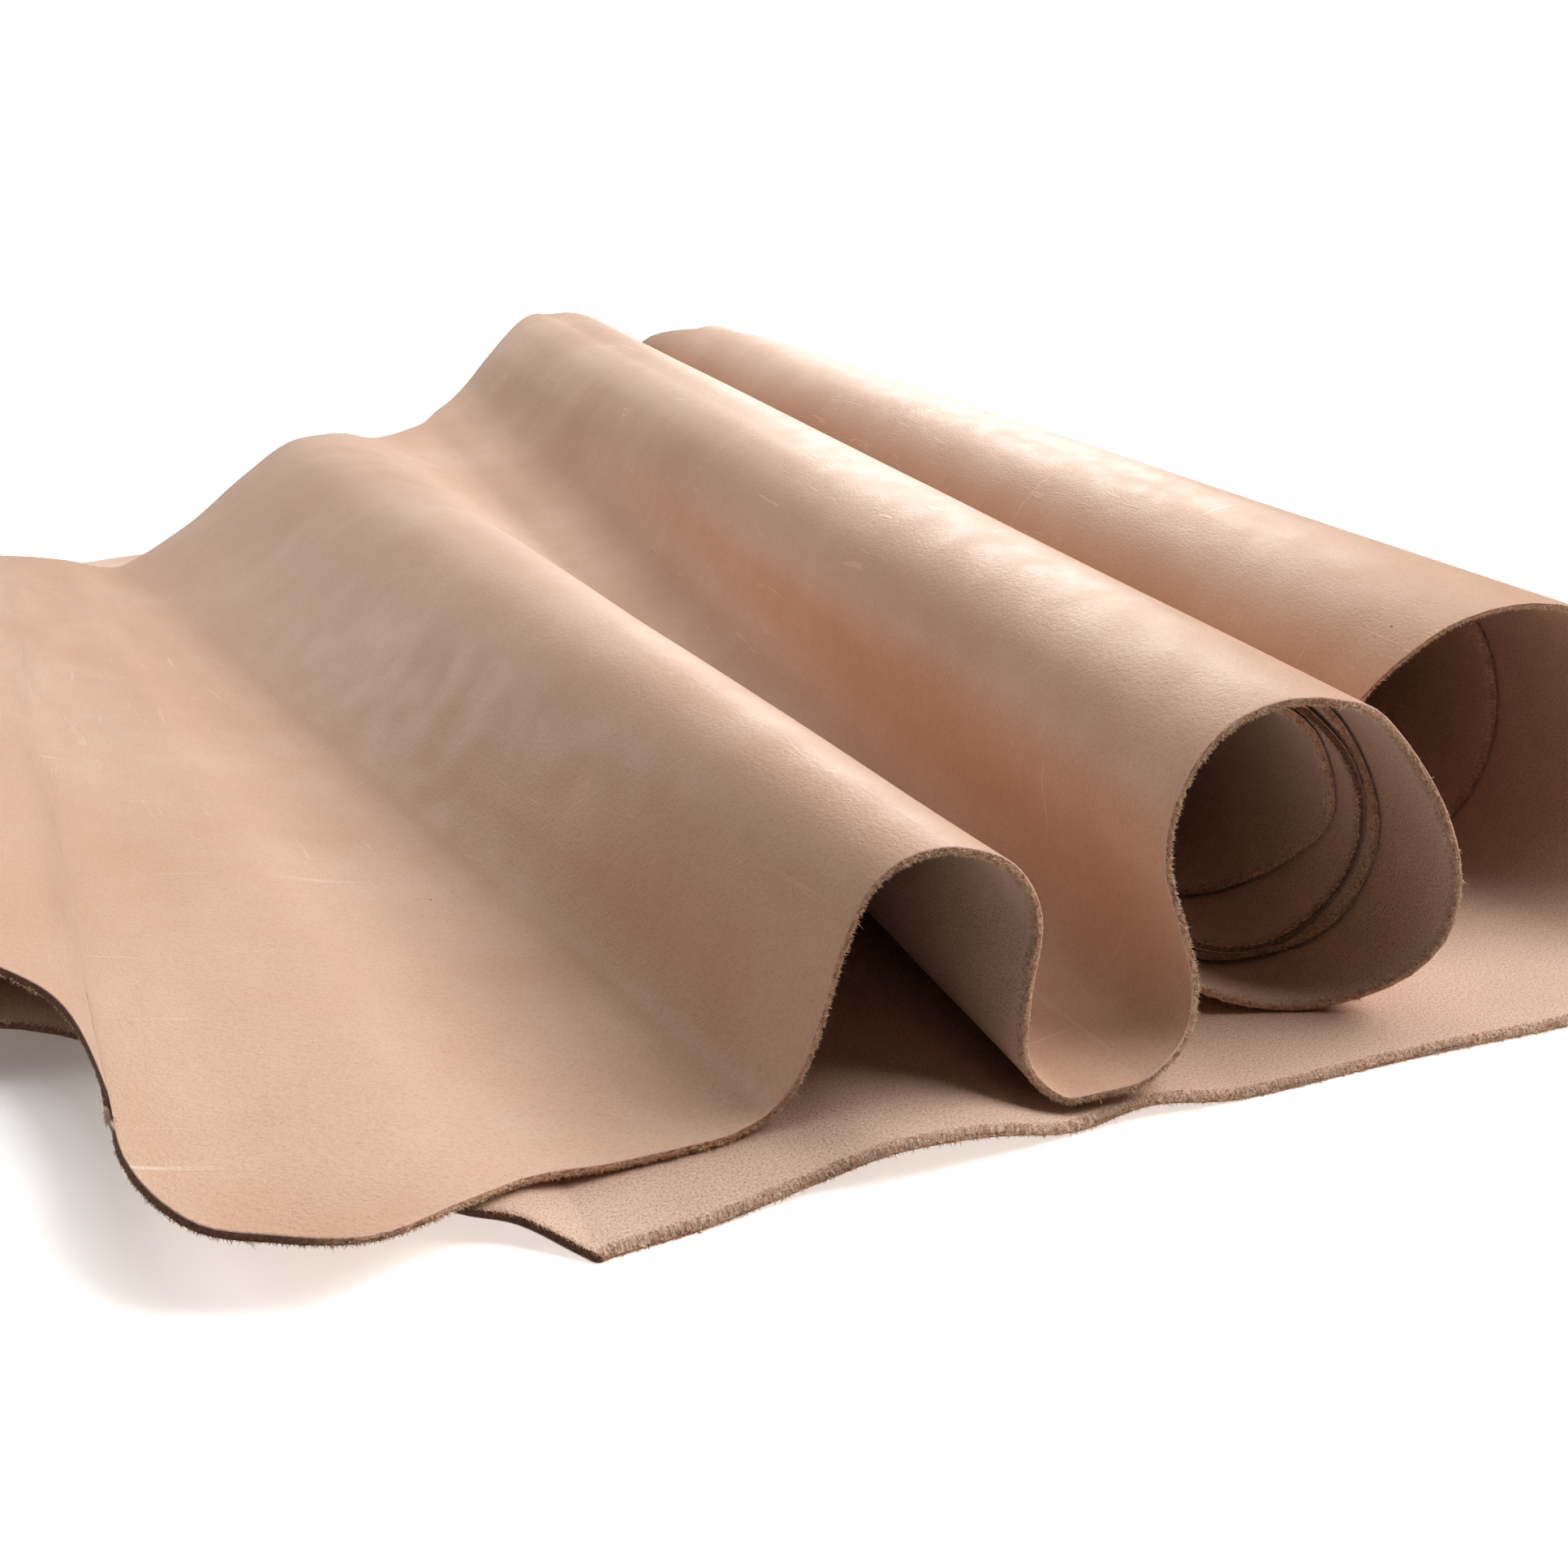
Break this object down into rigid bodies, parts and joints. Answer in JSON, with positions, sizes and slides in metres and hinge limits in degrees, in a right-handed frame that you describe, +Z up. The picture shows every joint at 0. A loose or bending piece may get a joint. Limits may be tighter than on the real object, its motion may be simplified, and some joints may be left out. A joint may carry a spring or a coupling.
{
  "type": "folded leather side",
  "caption": "Sheet of thick natural leather lying folded over on itself, its ends curled inwards into a tight roll and an open roll.",
  "frame": {"origin": "middle of the bounding box on the surface that the sheet lies on", "axes": "+Z up; the rolls and the hump run along +Y, away from the edge that the picture shows in front; the open roll is at +X"},
  "size_m": [0.6471, 1.1354, 0.1222],
  "materials": {
    "leather": "natural undyed grain with a soft sheen, napped flesh side, raw cut edges"
  },
  "bodies": {
    "root": {"leather_side": "leather"}
  },
  "joints": []
}
